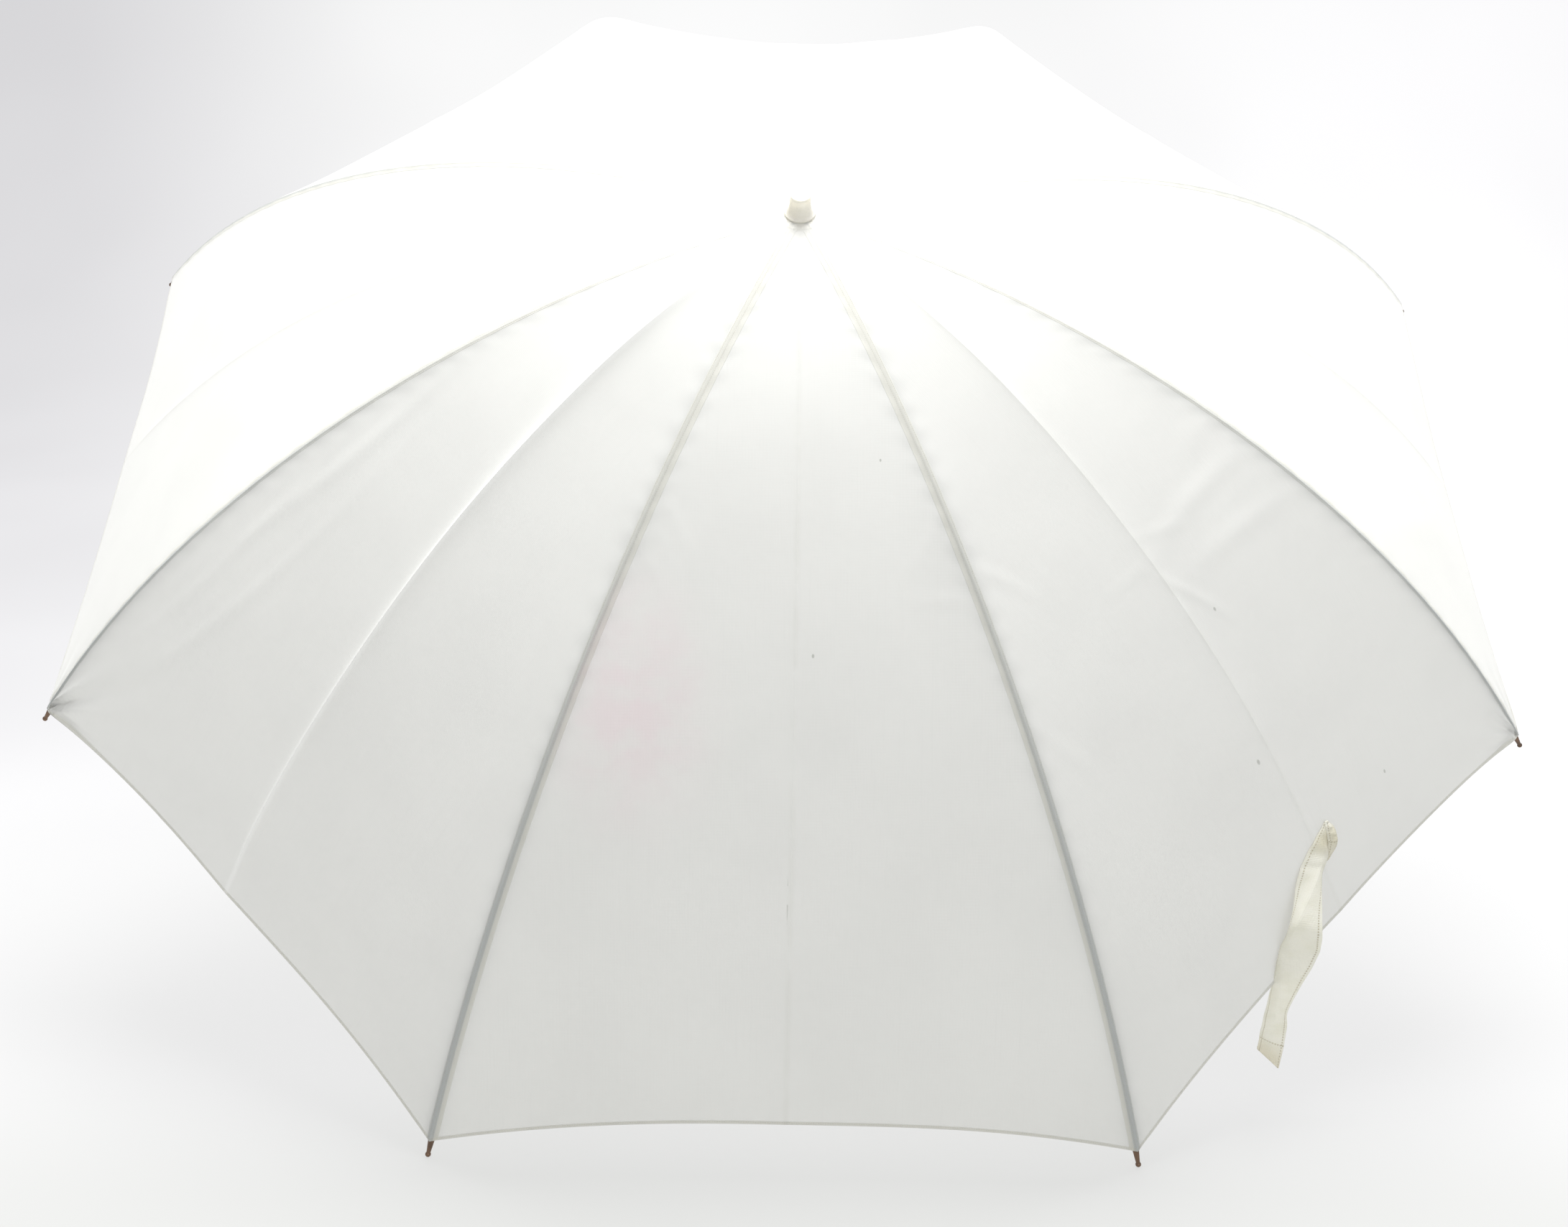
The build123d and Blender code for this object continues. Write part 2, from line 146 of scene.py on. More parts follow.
def at_rest(local):
    """Points in metres in the resting pose, from points in mm with +Z up the shaft and the crown at 0."""
    return (local * MM) @ np.array(RESTING.to_3x3()).T + np.array(RESTING.translation)


def out_along(azimuth, out, sideways, height):
    """Points in the resting pose, from how far they are out along an azimuth, sideways of it and up."""
    c, s = math.cos(azimuth), math.sin(azimuth)
    return at_rest(np.stack([out * c - sideways * s, out * s + sideways * c, height], axis=-1))


def new_object(name, points, faces, material):
    mesh = bpy.data.meshes.new(name)
    mesh.from_pydata(points, [], faces)
    mesh.polygons.foreach_set("use_smooth", [True] * len(mesh.polygons))
    mesh.materials.append(material)
    piece = bpy.data.objects.new(name, mesh)
    bpy.context.scene.collection.objects.link(piece)
    return piece


def cloth_facts(across, along, from_seam, from_hem, weight=0.0, from_fold=0.0, seam_width=0.0):
    """What points know of their cloth, in metres: their place on it and how far they are from its edges.
    Weight is a share instead: 0 on the rib, 1 in the gore's middle fold."""
    facts = (across, along, 0.0, from_seam, from_hem, weight, from_fold, seam_width)
    return np.stack(np.broadcast_arrays(*facts), axis=-1)


EDGE_FACTS = ("from_seam", "from_hem", "weight", "from_fold", "seam_width")


class Sheet:
    """Gathers grids of points, with what each point knows of the cloth, into one mesh."""

    def __init__(self):
        self.points, self.faces, self.facts = [], [], []
        self.count = 0

    def grid(self, points, facts, flip=False):
        rows, columns = points.shape[:2]
        index = self.count + np.arange(rows * columns).reshape(rows, columns)
        corners = [index[:-1, :-1], index[1:, :-1], index[1:, 1:], index[:-1, 1:]]
        quads = np.stack(corners, axis=-1).reshape(-1, 4)
        self.faces.append(quads[:, ::-1] if flip else quads)
        self.points.append(points.reshape(-1, 3))
        self.facts.append(facts.reshape(rows * columns, -1))
        self.count += rows * columns

    def build(self, name, material):
        points, faces = np.concatenate(self.points), np.concatenate(self.faces)
        piece = new_object(name, points.tolist(), faces.tolist(), material)
        facts = np.concatenate(self.facts).astype(np.float32)
        place = piece.data.attributes.new("cloth_at", "FLOAT_VECTOR", "POINT")
        place.data.foreach_set("vector", facts[:, :3].ravel())
        for column, label in enumerate(EDGE_FACTS, start=3):
            layer = piece.data.attributes.new(label, "FLOAT", "POINT")
            layer.data.foreach_set("value", np.ascontiguousarray(facts[:, column]))
        piece.data.validate()
        return piece


# ---------------------------------------------------------------- canopy

def half_width(along):
    return CLOTH_RADIUS * np.sin(along / DOME_RADIUS) * math.sin(HALF_SECTOR)


def hem_at(share):
    """How far down its arc the cloth ends, from its corner on the rib, at 0, to the middle fold, at 1."""
    return HEM_MIDDLE + (HEM_CORNER - HEM_MIDDLE) * (1 - share) ** HEM_POWER


def wrinkle(x, y, angle, long, wide, period):
    """A few waves beside each other, a little curved, that fade along and across their direction."""
    c, s = math.cos(math.radians(angle)), math.sin(math.radians(angle))
    lengthwise = x * c + y * s
    crosswise = y * c - x * s + WRINKLE_BEND * lengthwise * lengthwise
    fade = np.exp(-((lengthwise / long) ** 2) - (crosswise / wide) ** 2)
    return fade * np.cos(2 * math.pi * crosswise / period)


def corner_fan(along, inward, count, reach, phase):
    """Folds that spread from a corner of a gore; inward is how far a point is from the corner's rib."""
    down = HEM_CORNER - along
    far = np.hypot(down, inward)
    swell = 2 * (far / FAN_CREST) / (1 + (far / FAN_CREST) ** 2) * np.exp(-far / reach)
    return swell * np.sin(1.4 * count * np.arctan2(inward, down) + phase)


def relief(gore, along, across):
    """How far the cloth stands out from the straight vault between two ribs, in mm. It is 0 on the ribs."""
    wide = half_width(along)
    aside = np.abs(across)
    edge = wide - aside
    free = np.clip(1 - (across / wide) ** 2, 0, 1)
    phase = gore * 1.7

    height, spread = CREASES[gore]
    to_hem = hem_at(1 - aside / wide) - along
    out = height * np.exp(-aside / spread) * rising(along, 40, 160) * rising(to_hem, 0, 45)
    out += TENTS.get(gore, 0.0) * (1 - aside / wide) * rising(along, 0, 160)
    out -= (SAG + MORE_SAG.get(gore, 0.0)) * free * rising(along, 20, 260)

    swells = np.sin(along / 61 + phase) * np.cos(across / 47 + 2 * phase)
    swells = swells + 0.6 * np.sin(along / 37 - across / 29 + phase)
    out += UNEVENNESS * free * rising(along, 0, 200) * swells

    for on_gore, s, v, angle, long, half, period, rise in WRINKLES:
        if on_gore == gore:
            waves = wrinkle(along - s, across - v, angle, long, half, period)
            out += FOLD_RISE * rise * waves * np.sqrt(free)
    for on_gore, side, count, reach, rise in FANS:
        if on_gore == gore:
            folds = corner_fan(along, half_width(HEM_CORNER) - side * across, count, reach, gore)
            out += FOLD_RISE * rise * folds * np.clip(edge / 4, 0, 1)

    puckers = np.sin(along / 2.6 + np.sin(along / 17 + phase))
    out += PUCKER_RISE * puckers * np.exp(-((edge - 5) / 4) ** 2) * np.minimum(edge / 3, 1)
    return out


def cloth_point(gore, along, across, inset=0.0):
    """Points of a gore in the resting pose, from mm down its arc and across it from its middle fold."""
    angle = along / DOME_RADIUS
    normal_out = np.sin(angle)
    normal_up = math.cos(HALF_SECTOR) * np.cos(angle)
    lift = (relief(gore, along, across) - inset) / np.hypot(normal_out, normal_up)
    out = CLOTH_RADIUS * np.sin(angle) * math.cos(HALF_SECTOR) + lift * normal_out
    height = CLOTH_RADIUS * np.cos(angle) - DOME_RADIUS + lift * normal_up
    azimuth = FIRST_RIB + 2 * HALF_SECTOR * (gore - 0.5)
    return out_along(azimuth, out, across, height)


GORE_SPACING = 500  # between the middle folds of neighbouring gores, in the pattern's own coordinates


def place_on(gore, along, across):
    """Where a point of a gore is in the coordinates that the cloth's material uses, in metres."""
    return (gore * GORE_SPACING + across) * MM, along * MM, 0.0


def half_gore(gore, side, material):
    """Side is -1 for the half that is sewn to the gore's own rib, and 1 for the half on the next rib."""
    sheet = Sheet()
    allowance = SEAM_ALLOWANCES[gore % 2]

    def add(along, across, hem, inset=0.0):
        wide = half_width(along)
        aside = np.abs(across)
        pattern_x, pattern_y, _ = place_on(gore, along, across)
        weight = np.clip(1 - aside / wide, 0, 1)
        facts = cloth_facts(
            pattern_x, pattern_y, (wide - aside) * MM, (hem - along) * MM, weight, aside * MM, allowance * MM,
        )
        sheet.grid(cloth_point(gore, along, across, inset), facts, flip=side > 0)

    # the columns lie closer together at the rib and at the fold
    share = 0.5 - 0.5 * np.cos(math.pi * np.linspace(0, 1, COLUMNS))[None, :]
    rows = np.linspace(0, 1, ROWS)[:, None]
    hem = hem_at(share) + 0 * rows
    along = CLOTH_START + rows * (hem - CLOTH_START)
    add(along, side * half_width(along) * (1 - share), hem)

    # the hem is turned in
    turned = np.array([0, HEM_ROLL, HEM_ROLL, 0, -HEM_TURN / 2, -HEM_TURN, -HEM_TURN - 0.3])[:, None]
    inset = np.array([0, 0.1, LAYER_GAP - 0.1, LAYER_GAP, LAYER_GAP, LAYER_GAP, LAYER_REST])[:, None]
    hem = hem_at(share) + 0 * turned
    along = hem + turned
    across = np.clip(side * half_width(hem) * (1 - share), -half_width(along), half_width(along))
    add(along, across, hem, inset)

    # the seam allowance is turned in
    turned = np.array([0, allowance / 2, allowance, allowance + 0.2])[None, :]
    inset = np.array([0.0, LAYER_GAP, LAYER_GAP, LAYER_REST])[None, :]
    along = np.linspace(SEAM_START, HEM_CORNER - HEM_TURN, ROWS)[:, None] + 0 * turned
    add(along, side * (half_width(along) - turned), np.full_like(along, HEM_CORNER), inset)

    label = "left" if side < 0 else "right"
    piece = sheet.build(f"canopy_{gore}_{label}", material)
    attach_half_gore(piece, gore, side, f"gore_{gore}_{label}")


def attach_half_gore(piece, gore, side, node):
    """Bakes the cloth's resting place into its points and hides its CAD half gore. The points at its seam and
    fold and its weights are read but not used.
    """
    along = np.array([400.0])
    seam = Vector(cloth_point(gore, along, side * half_width(along))[0])
    fold = Vector(cloth_point(gore, along, np.array([0.0]))[0])
    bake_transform(piece)
    weight = np.zeros(len(piece.data.vertices), np.float32)
    piece.data.attributes["weight"].data.foreach_get("value", weight)
    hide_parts(node)


# ---------------------------------------------------------------- strap, crown patch and thread

# left edge, folded middle and right edge of the strap, from its seam to its free end,
# in mm along the resting pose's axes
STRAP_ROWS = [
    ((286, -244, 154), (287, -244, 157), (288, -243, 154)),
    ((279, -251, 146), (286, -250, 147), (288, -247, 144)),
    ((273, -256, 137), (286, -252, 138), (288, -249, 136)),
    ((269, -261, 128), (282, -259, 130), (284, -255, 128)),
    ((264, -272, 107), (265, -275, 109), (282, -271, 105)),
    ((260, -272, 94), (262, -275, 96), (283, -268, 92)),
    ((258, -274, 82), (260, -277, 84), (278, -272, 83)),
    ((257, -268, 59), (262, -270, 59), (270, -266, 57)),
    ((257, -263, 44), (263, -265, 43), (271, -263, 42)),
    ((257, -259, 29), (264, -261, 23), (270, -259, 17)),
]
TAB_ROWS = [
    ((286, -245, 156), (288, -244, 156), (288, -243, 155)),
    ((286, -247, 153), (290, -246, 153), (292, -242, 152)),
    ((287, -248, 148), (292, -247, 148), (294, -243, 147)),
    ((288, -248, 143), (292, -247, 142), (294, -244, 142)),
    ((286, -249, 135), (288, -248, 135), (289, -247, 134)),
]
ROUNDING = 0.45  # of the fold in the strap's middle: 0 is sharp, 1 is a smooth arch
RIPPLE_DIRECTION = np.array([0.2, -1.0, 0.1])


def through(rows, count):
    """Points evenly spaced along a smooth run through the rows (Catmull-Rom)."""
    rows = np.asarray(rows, float)
    padded = np.concatenate([2 * rows[:1] - rows[1:2], rows, 2 * rows[-1:] - rows[-2:-1]])
    at = np.linspace(0, len(rows) - 1, count)
    index = np.minimum(at.astype(int), len(rows) - 2)
    t = (at - index)[:, None, None]
    a, b, c, d = (padded[index + k] for k in range(4))
    bend, twist = 2 * a - 5 * b + 4 * c - d, 3 * b - a - 3 * c + d
    return 0.5 * (2 * b + (c - a) * t + bend * t ** 2 + twist * t ** 3)


def ribbon(name, rows, count, columns, thickness, material):
    """A strip of cloth through rows of (left edge, folded middle, right edge), and its length in mm."""
    sections = through(rows, count)
    u = np.linspace(0, 1, columns)[None, :, None]
    left, fold, right = (sections[:, None, k] for k in range(3))
    sharp = np.where(u < 0.5, left + (fold - left) * 2 * u, fold + (right - fold) * (2 * u - 1))
    arched = (1 - u) ** 2 * left + 2 * u * (1 - u) * fold + u ** 2 * right
    down = np.linspace(0, 1, count)[:, None, None]
    ripple = 0.35 * np.sin(down * 31 + u * 3) * np.sin(math.pi * u) + 0.2 * np.sin(down * 67 - u * 5)
    points = sharp + (arched - sharp) * ROUNDING + ripple * RIPPLE_DIRECTION

    steps = np.linalg.norm(np.diff(points[:, columns // 2], axis=0), axis=-1)
    run = np.concatenate([[0], np.cumsum(steps)])[:, None]
    wide = np.linalg.norm(np.diff(points, axis=1), axis=-1).sum(axis=1)[:, None]
    share = u[..., 0]
    edge = wide * (0.5 - np.abs(share - 0.5))
    sheet = Sheet()
    sheet.grid(points * MM, cloth_facts(share * wide * MM, run * MM, edge * MM, (run[-1] - run) * MM))
    piece = sheet.build(name, material)
    solid = piece.modifiers.new("thickness", "SOLIDIFY")
    solid.thickness = thickness * MM
    solid.offset = 0.0
    softened = piece.modifiers.new("softened", "SUBSURF")
    softened.levels = softened.render_levels = 1
    return piece, float(run[-1, 0])


def strap(material):
    """The tie strap, and the tab of cloth beside its seam."""
    piece, length = ribbon("tie_strap_cloth", STRAP_ROWS, 90, 21, 0.8, material)
    tab, _ = ribbon("tie_strap_tab", TAB_ROWS, 30, 9, 0.6, material)
    for part in (piece, tab):
        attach(part, "gore_2_right")
    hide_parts("tie_strap")


PATCH_INSIDE = 4.15
PATCH_CLAMPED = 8.4  # the ferrule presses it flat as far as here
PATCH_OUTSIDE = 13.6
CLAMPED_HEIGHT = 2.78


def crown_patch(material):
    """The gathered middle of the canopy, which the ferrule clamps."""
    clamped, loose = np.linspace(PATCH_INSIDE, PATCH_CLAMPED, 8), np.linspace(8.9, PATCH_OUTSIDE, 16)
    rings = np.concatenate([clamped, loose])[:, None]
    turn = np.linspace(0, 2 * math.pi, 193)[None, :]
    dome = np.sqrt(CLOTH_RADIUS ** 2 - rings ** 2) - DOME_RADIUS
    gathers = 0.05 * np.cos(24 * turn + 0.5 * np.sin(5 * turn)) + 0.02 * np.cos(41 * turn)
    height = CLAMPED_HEIGHT + (dome + 0.20 + gathers - CLAMPED_HEIGHT) * rising(rings, PATCH_CLAMPED, 11.4)
    height = height - 0.13 * rising(rings, 12.6, PATCH_OUTSIDE)
    points = at_rest(np.stack([rings * np.cos(turn), rings * np.sin(turn), height], axis=-1))
    # its material's coordinates keep clear of every gore, seam, hem and fold
    facts = cloth_facts(4.9 + rings * np.cos(turn) * MM, rings * MM, 0.02, 0.02, from_fold=0.05)
    sheet = Sheet()
    sheet.grid(points, facts, flip=True)
    piece = sheet.build("canopy_crown_patch", material)
    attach(piece, "shaft")
    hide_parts("canopy_centre")


TIE_PLACES = (250.0, 362.0, 455.0)
TIE_TURNS = 3
TIE_CORNERS = [(2.0, 1.9), (2.0, -1.75), (-2.0, -1.75), (-2.0, 1.9)]  # sideways and out from the rib's middle
TIE_STOPS = [0.12, 0.5, 0.88]  # along each side of a loop, so that its corners are cut
THREAD_RADIUS = 0.22
THREAD_SIDES = 6


def rib_ties(number, material):
    """Thread loops that hold the seam to a rib: each goes three times round the rib and through the cloth."""
    corners = np.array(TIE_CORNERS)
    sides = np.roll(corners, -1, axis=0) - corners
    path = (corners[:, None] + sides[:, None] * np.array(TIE_STOPS)[None, :, None]).reshape(-1, 2)
    x, z = path[:, :1], path[:, 1:]
    slant = 0.3 * np.sin(np.arange(len(path)))[:, None]
    spin = 2 * math.pi * np.arange(THREAD_SIDES)[None, :] / THREAD_SIDES
    grow = 1 + THREAD_RADIUS * np.cos(spin) / np.hypot(x, z)
    radius = DOME_RADIUS + z * grow

    azimuth = FIRST_RIB + 2 * HALF_SECTOR * (number - 1)
    points, faces = [], []
    for along in TIE_PLACES:
        for turn in range(TIE_TURNS):
            index = len(points) * grow.size + np.arange(grow.size).reshape(grow.shape)
            after = np.roll(index, -1, axis=0)
            quads = [index, np.roll(index, -1, axis=1), np.roll(after, -1, axis=1), after]
            faces.append(np.stack(quads, axis=-1).reshape(-1, 4))
            angle = (along + 0.55 * (turn - 1) + slant + THREAD_RADIUS * np.sin(spin)) / DOME_RADIUS
            loop = out_along(azimuth, radius * np.sin(angle), x * grow, radius * np.cos(angle) - DOME_RADIUS)
            points.append(loop.reshape(-1, 3))
    points, faces = np.concatenate(points), np.concatenate(faces)
    piece = new_object(f"rib_ties_{number}", points.tolist(), faces.tolist(), material)
    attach(piece, f"rib_{number}")


# ---------------------------------------------------------------- materials

class Nodes:
    """A material's node tree with short ways to add nodes."""

    def __init__(self, name):
        self.material = bpy.data.materials.new(name)
        self.material.use_nodes = True
        self.tree = self.material.node_tree
        self.tree.nodes.clear()
        self.output = self.add("ShaderNodeOutputMaterial")

    def add(self, kind, **settings):
        node = self.tree.nodes.new(kind)
        for key, value in settings.items():
            setattr(node, key, value)
        return node

    def put(self, socket, value):
        if isinstance(value, bpy.types.NodeSocket):
            self.tree.links.new(value, socket)
        else:
            socket.default_value = value

    def attribute(self, name, output="Fac"):
        return self.add("ShaderNodeAttribute", attribute_type="GEOMETRY", attribute_name=name).outputs[output]

    def object_place(self):
        return self.add("ShaderNodeTexCoord").outputs["Object"]

    def math(self, operation, a, b=0.0):
        node = self.add("ShaderNodeMath", operation=operation)
        self.put(node.inputs[0], a)
        self.put(node.inputs[1], b)
        return node.outputs[0]

    def times(self, a, b):
        return self.math("MULTIPLY", a, b)

    def separate(self, vector):
        node = self.add("ShaderNodeSeparateXYZ")
        self.put(node.inputs[0], vector)
        return node.outputs

    def fill(self, node, **values):
        """Sets or links a node's inputs, named with _ for each space."""
        for key, value in values.items():
            self.put(node.inputs[key.replace("_", " ")], value)

    def ramp(self, value, low, high, start=0.0, end=1.0):
        node = self.add("ShaderNodeMapRange", interpolation_type="SMOOTHSTEP")
        self.fill(node, Value=value, From_Min=low, From_Max=high, To_Min=start, To_Max=end)
        return node.outputs["Result"]

    def fall(self, value, low, high):
        """1 up to low, falling to 0 at high."""
        return self.ramp(value, low, high, 1.0, 0.0)

    def line(self, distance, place, half, soft):
        """1 on a line at a distance from an edge, in mm, with its half width and where it has faded out."""
        off = self.math("ABSOLUTE", self.math("SUBTRACT", distance, place * MM))
        return self.fall(off, half * MM, soft * MM)

    def noise(self, vector, scale, detail=2.0, rough=0.5):
        node = self.add("ShaderNodeTexNoise")
        self.fill(node, Vector=vector, Scale=scale, Detail=detail, Roughness=rough)
        return node.outputs["Fac"]

    def scaled(self, vector, scale):
        node = self.add("ShaderNodeMapping")
        self.fill(node, Vector=vector, Scale=scale)
        return node.outputs["Vector"]

    def wave(self, vector, scale, direction, distortion=0.0):
        node = self.add("ShaderNodeTexWave", wave_type="BANDS", bands_direction=direction)
        self.fill(node, Vector=vector, Scale=scale, Distortion=distortion, Detail_Scale=4.0)
        return node.outputs["Fac"]

    def weave(self, vector, scale, distortion):
        return self.math("ADD", *(self.wave(vector, scale, direction, distortion) for direction in "XY"))

    def mix(self, factor, a, b):
        node = self.add("ShaderNodeMix", data_type="RGBA")
        self.put(node.inputs["Factor"], factor)
        for socket, value in zip((node.inputs[6], node.inputs[7]), (a, b)):
            self.put(socket, value if isinstance(value, bpy.types.NodeSocket) else (*value, 1.0))
        return node.outputs[2]

    def near(self, vector, place, radius, soft, squeeze=1.0):
        """1 inside a spot round a place, falling from soft times its radius to 0 at its radius.
        Squeeze under 1 makes the spot longer along the cloth."""
        node = self.add("ShaderNodeVectorMath", operation="DISTANCE")
        self.put(node.inputs[0], self.scaled(vector, (1.0, squeeze, 1.0)))
        self.put(node.inputs[1], (place[0], place[1] * squeeze, place[2]))
        return self.fall(node.outputs["Value"], radius * soft, radius)

    def bump(self, height, strength, distance, under=None):
        node = self.add("ShaderNodeBump")
        self.fill(node, Strength=strength, Distance=distance, Height=height)
        if under is not None:
            self.put(node.inputs["Normal"], under)
        return node.outputs["Normal"]

    def principled(self, **values):
        node = self.add("ShaderNodeBsdfPrincipled")
        self.fill(node, **values)
        return node.outputs["BSDF"]

    def finish(self, shader):
        self.put(self.output.inputs["Surface"], shader)
        return self.material

    def finish_thin(self, shader, colour, share, normal=None):
        """For a thin wall or cloth: a share of the light goes through it and comes out diffused."""
        diffused = self.add("ShaderNodeBsdfTranslucent")
        self.fill(diffused, Color=colour)
        if normal is not None:
            self.fill(diffused, Normal=normal)
        both = self.add("ShaderNodeMixShader")
        for socket, value in zip(both.inputs, (share, shader, diffused.outputs["BSDF"])):
            self.put(socket, value)
        return self.finish(both.outputs["Shader"])


CLOTH_WHITE = (0.70, 0.70, 0.668)
CLOTH_THROUGH = (0.95, 0.95, 0.935)
CLOTH_THREAD = (0.60, 0.58, 0.50)
HEM_TINT = (0.78, 0.76, 0.66)
# painted shadow of the rib under each seam, seen as a dark line through the cloth
RIB_PAINTED_SHADOW = (0.50, 0.54, 0.565)
RIB_HALF_WIDTH = 1.75
# painted highlight along the fold's ridge on gore 8, and painted shade along the folds of the other gores
FOLD_PAINTED_HIGHLIGHT = (0.84, 0.84, 0.82)
FOLD_PAINTED_SHADE = (0.58, 0.58, 0.53)
# painted light on the cloth near the crown, lightening the shade under the ferrule
CROWN_PAINTED_LIGHT = (0.96, 0.95, 0.90)
STAIN_PINK = (0.71, 0.575, 0.60)
SPECK = (0.30, 0.31, 0.27)
SPECKS = [  # gore, along, across, radius
    (1, 274.7, 8.7, 0.9), (1, 167.4, 41.3, 0.7),
    (2, 329.6, 16.6, 1.0), (2, 411.9, -9.5, 1.3), (2, 476.2, 66.0, 1.0),
]
STITCHES = 260.0  # scale of the waves that a sewn line is made of
CLOTH_WEAVE = 420.0


def shade(colour, factor):
    return tuple(channel * factor for channel in colour)


def woven_colour(n, at):
    """The cloth's white, with a slow drift in tone and fine streaks along its threads."""
    tone = n.noise(at, 14.0, 3.0, 0.55)
    colour = n.mix(n.ramp(tone, 0.35, 0.7), CLOTH_WHITE, shade(CLOTH_WHITE, 0.965))
    streaks = n.noise(n.scaled(at, (900, 14, 1)), 1.0)
    return n.mix(n.ramp(streaks, 0.55, 0.8, 0.0, 0.35), colour, shade(CLOTH_WHITE, 0.93))


def folded_colour(n, at, colour):
    """The pressed fold in a gore's middle: a painted highlight along its ridge on gore 8, and painted shade
    along it in patches on the others.
    """
    fold = n.fall(n.attribute("from_fold"), 0.4 * MM, 2.6 * MM)
    on_gore_8 = n.near(at, place_on(8, 0, 0), 0.1, 0.9, squeeze=0.0)
    # painted highlight along the fold of gore 8
    colour = n.mix(n.times(n.times(fold, on_gore_8), 0.45), colour, FOLD_PAINTED_HIGHLIGHT)
    # painted shade in patches along the folds of the other gores
    fold_shade_patches = n.times(n.math("SUBTRACT", 1.0, on_gore_8), n.ramp(n.noise(at, 55.0, 3.0), 0.3, 0.62))
    return n.mix(n.times(n.times(fold, fold_shade_patches), 0.30), colour, FOLD_PAINTED_SHADE)


def marked_colour(n, at, colour):
    """A pink stain, a few specks and a broken line of dirt on the front gores."""
    stain = n.near(at, place_on(1, 301.6, -78.5), 0.055, 0.05, squeeze=0.62)
    patchy = n.ramp(n.noise(at, 60.0, 4.0), 0.35, 0.65, 0.4, 1.0)
    colour = n.mix(n.times(n.times(stain, patchy), 0.65), colour, STAIN_PINK)
    for gore, along, across, radius in SPECKS:
        spot = n.near(at, place_on(gore, along, across), radius * MM, 0.4, squeeze=0.6)
        colour = n.mix(n.times(spot, 0.8), colour, SPECK)
    mark = n.near(at, place_on(1, 401, -1.5), 0.45 * MM, 0.4, squeeze=0.03)
    dashes = n.ramp(n.noise(n.scaled(at, (1.0, 260.0, 1.0)), 1.0, 0.0), 0.45, 0.55)
    return n.mix(n.times(n.times(mark, dashes), 0.55), colour, SPECK)


def canopy_material():
    n = Nodes("canopy_nylon")
    at = n.attribute("cloth_at", "Vector")
    down = n.separate(at)["Y"]
    seam, hem = n.attribute("from_seam"), n.attribute("from_hem")

    in_seam = n.fall(n.math("SUBTRACT", seam, n.attribute("seam_width")), 0.0, 0.4 * MM)
    in_hem = n.fall(hem, HEM_TURN * MM, (HEM_TURN + 0.4) * MM)
    # painted shadow of the rib under the seam, fading out towards the crown
    rib_shadow_mask = n.fall(seam, (RIB_HALF_WIDTH - 0.1) * MM, (RIB_HALF_WIDTH + 0.1) * MM)
    rib_shadow_mask = n.times(rib_shadow_mask, n.ramp(down, 0.08, 0.46))
    seam_stitch = n.times(n.line(seam, 1.1, 0.12, 0.3), n.ramp(n.wave(at, STITCHES, "Y"), 0.35, 0.6))
    hem_stitch = n.times(n.line(hem, 1.1, 0.12, 0.3), n.ramp(n.wave(at, STITCHES, "X"), 0.35, 0.6))
    stitches = n.math("MAXIMUM", seam_stitch, hem_stitch)

    colour = woven_colour(n, at)
    colour = n.mix(n.times(in_hem, 0.25), colour, HEM_TINT)
    colour = n.mix(n.times(in_seam, 0.30), colour, HEM_TINT)
    colour = n.mix(n.times(rib_shadow_mask, 0.50), colour, RIB_PAINTED_SHADOW)
    colour = n.mix(n.times(stitches, 0.6), colour, CLOTH_THREAD)
    colour = marked_colour(n, at, folded_colour(n, at, colour))
    # painted light: the cloth is painted lighter near the crown, where the ferrule and notch shade it
    colour = n.mix(n.times(n.fall(down, 0.010, 0.034), 0.8), colour, CROWN_PAINTED_LIGHT)

    slubs = n.noise(n.scaled(at, (700, 120, 1)), 1.0)
    fine = n.math("ADD", n.times(n.weave(at, CLOTH_WEAVE, 0.6), 0.35), slubs)
    edges = n.math("SUBTRACT", n.math("MAXIMUM", in_seam, in_hem), stitches)
    normal = n.bump(edges, 0.35, 0.0004, n.bump(fine, 0.10, 0.0003))
    rough = n.ramp(n.noise(at, 40.0, 3.0), 0.3, 0.7, 0.42, 0.52)
    shader = n.principled(
        Base_Color=colour, Roughness=rough, Normal=normal, Specular_IOR_Level=0.35,
        Sheen_Weight=0.25, Sheen_Roughness=0.4, Anisotropic=0.25,
    )
    return n.finish_thin(shader, n.mix(0.5, colour, CLOTH_THROUGH), 0.45, normal)


STRAP_CREAM = (0.92, 0.91, 0.84)
STRAP_DARKER = (0.88, 0.87, 0.78)
STRAP_WORN = (0.76, 0.71, 0.56)
STRAP_DIRT = (0.66, 0.60, 0.38)
STRAP_THREAD = (0.50, 0.44, 0.30)
STRAP_STITCHES = 210.0


